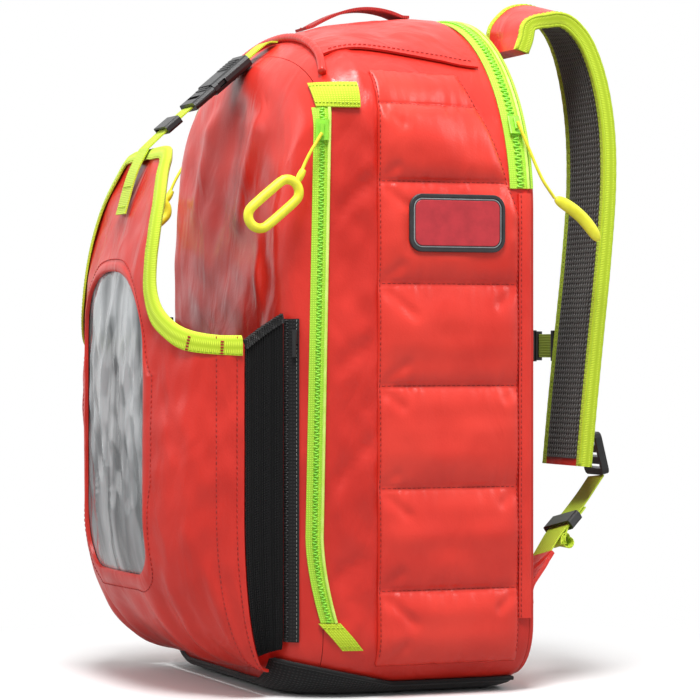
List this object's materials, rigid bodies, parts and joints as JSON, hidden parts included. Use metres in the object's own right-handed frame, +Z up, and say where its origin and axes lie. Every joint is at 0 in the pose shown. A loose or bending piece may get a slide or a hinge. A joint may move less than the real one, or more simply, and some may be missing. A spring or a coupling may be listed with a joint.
{
  "type": "trauma backpack",
  "caption": "Hollow upright emergency backpack with a rounded top, padded sides, zips, a fold-down front sleeve with a window and strap, and a padded harness.",
  "frame": {"origin": "centre of the boot's flat underside, on the floor", "axes": "+Z up, -Y out of the front sleeve, +Y out of the harness towards the wearer, +X to the side with the patch"},
  "size_m": [0.3502, 0.401, 0.5654],
  "materials": {
    "red_tarpaulin": "coated, satin",
    "red_quilt": "coated and padded, satin",
    "red_webbing": "woven, matte",
    "lime_webbing": "woven, matte",
    "lime_zip": "woven tape and moulded coil",
    "yellow_rubber": "moulded, matte",
    "black_nylon": "woven, matte",
    "black_plastic": "moulded, satin",
    "spacer_mesh": "foam under knitted mesh",
    "clear_vinyl": "clear sheet, slightly milky",
    "badge_rubber": "moulded, satin",
    "grey_sheet": "extruded sheet"
  },
  "bodies": {
    "pack": {"badge_patch": "badge_rubber", "base_boot": "black_nylon", "buckle_socket": "black_plastic", "closure_webbing_upper": "lime_webbing", "front_shell": "red_tarpaulin", "grab_handle": "red_webbing", "hood_piping": "red_tarpaulin", "main_shell": "red_tarpaulin", "rear_zip_flap_left": "red_tarpaulin", "rear_zip_flap_right": "red_tarpaulin", "rear_zip_tape": "lime_zip", "side_quilt_left": "red_quilt", "side_quilt_right": "red_quilt", "side_zip_left": "lime_zip", "side_zip_right": "lime_zip", "sleeve_zip_left": "black_nylon", "sleeve_zip_right": "black_nylon", "top_panel": "red_tarpaulin", "zip_end_tab_left": "lime_webbing", "zip_end_tab_right": "lime_webbing", "zip_garage_left": "lime_webbing", "zip_garage_right": "lime_webbing"},
    "harness": {"back_panel": "red_tarpaulin", "frame_sheet": "grey_sheet", "panel_zip_tape": "lime_zip", "back_pad": "spacer_mesh", "shoulder_pad_right": "spacer_mesh", "shoulder_pad_left": "spacer_mesh", "lock_webbing_right": "lime_webbing", "lock_webbing_left": "lime_webbing", "lower_webbing_right": "lime_webbing", "lower_webbing_left": "lime_webbing", "corner_tab_right": "red_tarpaulin", "corner_tab_left": "red_tarpaulin"},
    "sleeve": {"sleeve_front": "red_tarpaulin", "sleeve_window": "clear_vinyl", "sleeve_binding": "lime_webbing", "closure_webbing_lower": "lime_webbing", "closure_keeper": "black_nylon", "sleeve_gusset_right": "black_nylon", "sleeve_gusset_left": "black_nylon"},
    "buckle_plug": {"buckle_plug": "black_plastic"},
    "rear_slider": {"rear_zip_slider": "lime_zip"},
    "rear_pull": {"rear_zip_pull": "yellow_rubber"},
    "sternum_right": {"sternum_slider_right": "black_plastic", "sternum_webbing_right": "lime_webbing"},
    "sternum_left": {"sternum_slider_left": "black_plastic", "sternum_webbing_left": "lime_webbing", "sternum_socket": "black_plastic"},
    "sternum_plug": {"sternum_plug": "black_plastic"},
    "side_slider_right": {"side_zip_slider_right": "lime_zip"},
    "side_pull_right": {"side_zip_pull_right": "yellow_rubber"},
    "sleeve_slider_right": {"sleeve_zip_slider_right": "black_plastic"},
    "ladder_lock_right": {"ladder_lock_right": "black_plastic"},
    "webbing_keeper_right": {"webbing_keeper_right": "black_nylon"},
    "side_slider_left": {"side_zip_slider_left": "lime_zip"},
    "side_pull_left": {"side_zip_pull_left": "yellow_rubber"},
    "sleeve_slider_left": {"sleeve_zip_slider_left": "black_plastic"},
    "ladder_lock_left": {"ladder_lock_left": "black_plastic"},
    "webbing_keeper_left": {"webbing_keeper_left": "black_nylon"}
  },
  "joints": [
    {"name": "main_opening", "type": "hinge", "parent": "pack", "child": "harness", "pos_m": [0, 0.1042, 0.0096], "axis": [-1, 0, 0], "range_deg": [0, 55]},
    {"name": "sleeve_fold", "type": "hinge", "parent": "pack", "child": "sleeve", "pos_m": [0, -0.105, 0.0205], "axis": [1, 0, 0], "range_deg": [0, 40], "deforming": ["closure_webbing_lower", "buckle_plug"]},
    {"name": "buckle_release", "type": "slide", "parent": "sleeve", "child": "buckle_plug", "axis": [0, -0.7625, -0.647], "range_m": [0, 0.015], "deforming": ["closure_webbing_lower"]},
    {"name": "rear_zip", "type": "hinge", "parent": "pack", "child": "rear_slider", "pos_m": [0, 0.09535, 0.388], "axis": [0, 1, 0], "range_deg": [-132, 8], "deforming": ["rear_zip_pull"]},
    {"name": "rear_pull_swing", "type": "hinge", "parent": "rear_slider", "child": "rear_pull", "pos_m": [0.16115, 0.09535, 0.45975], "axis": [1, 0, 0], "range_deg": [-2, 25]},
    {"name": "sternum_height", "type": "slide", "parent": "harness", "child": "sternum_right", "axis": [0, 0.1093, 0.994], "range_m": [-0.028, 0.028]},
    {"name": "sternum_height_left", "type": "slide", "parent": "harness", "child": "sternum_left", "axis": [0, 0.1093, 0.994], "range_m": [-0.028, 0.028]},
    {"name": "sternum_release", "type": "slide", "parent": "sternum_right", "child": "sternum_plug", "axis": [1, 0, 0], "range_m": [0, 0.015], "deforming": ["sternum_webbing_right"]},
    {"name": "side_zip_right", "type": "slide", "parent": "pack", "child": "side_slider_right", "axis": [0, 0.0169, 0.9999], "range_m": [-0.3, 0]},
    {"name": "side_pull_swing_right", "type": "hinge", "parent": "side_slider_right", "child": "side_pull_right", "pos_m": [0.16225, -0.07449, 0.44549], "axis": [1, 0, 0], "range_deg": [-60, 25]},
    {"name": "sleeve_zip_right", "type": "slide", "parent": "pack", "child": "sleeve_slider_right", "axis": [0, 0, -1], "range_m": [0, 0.21]},
    {"name": "lock_tilt_right", "type": "hinge", "parent": "harness", "child": "ladder_lock_right", "pos_m": [0.095, 0.19224, 0.20608], "axis": [1, 0, 0], "range_deg": [0, 30]},
    {"name": "keeper_slide_right", "type": "slide", "parent": "harness", "child": "webbing_keeper_right", "axis": [-0.3917, 0.7387, 0.5485], "range_m": [-0.004, 0.004]},
    {"name": "side_zip_left", "type": "slide", "parent": "pack", "child": "side_slider_left", "axis": [0, 0.0169, 0.9999], "range_m": [-0.3, 0]},
    {"name": "side_pull_swing_left", "type": "hinge", "parent": "side_slider_left", "child": "side_pull_left", "pos_m": [-0.16225, -0.07449, 0.44549], "axis": [1, 0, 0], "range_deg": [-60, 25]},
    {"name": "sleeve_zip_left", "type": "slide", "parent": "pack", "child": "sleeve_slider_left", "axis": [0, 0, -1], "range_m": [0, 0.21]},
    {"name": "lock_tilt_left", "type": "hinge", "parent": "harness", "child": "ladder_lock_left", "pos_m": [-0.095, 0.19224, 0.20608], "axis": [1, 0, 0], "range_deg": [0, 30]},
    {"name": "keeper_slide_left", "type": "slide", "parent": "harness", "child": "webbing_keeper_left", "axis": [0.3917, 0.7387, 0.5485], "range_m": [-0.004, 0.004]}
  ],
  "couplings": [
    {"joint": "sternum_height_left", "follows": "sternum_height", "ratio": 1}
  ]
}
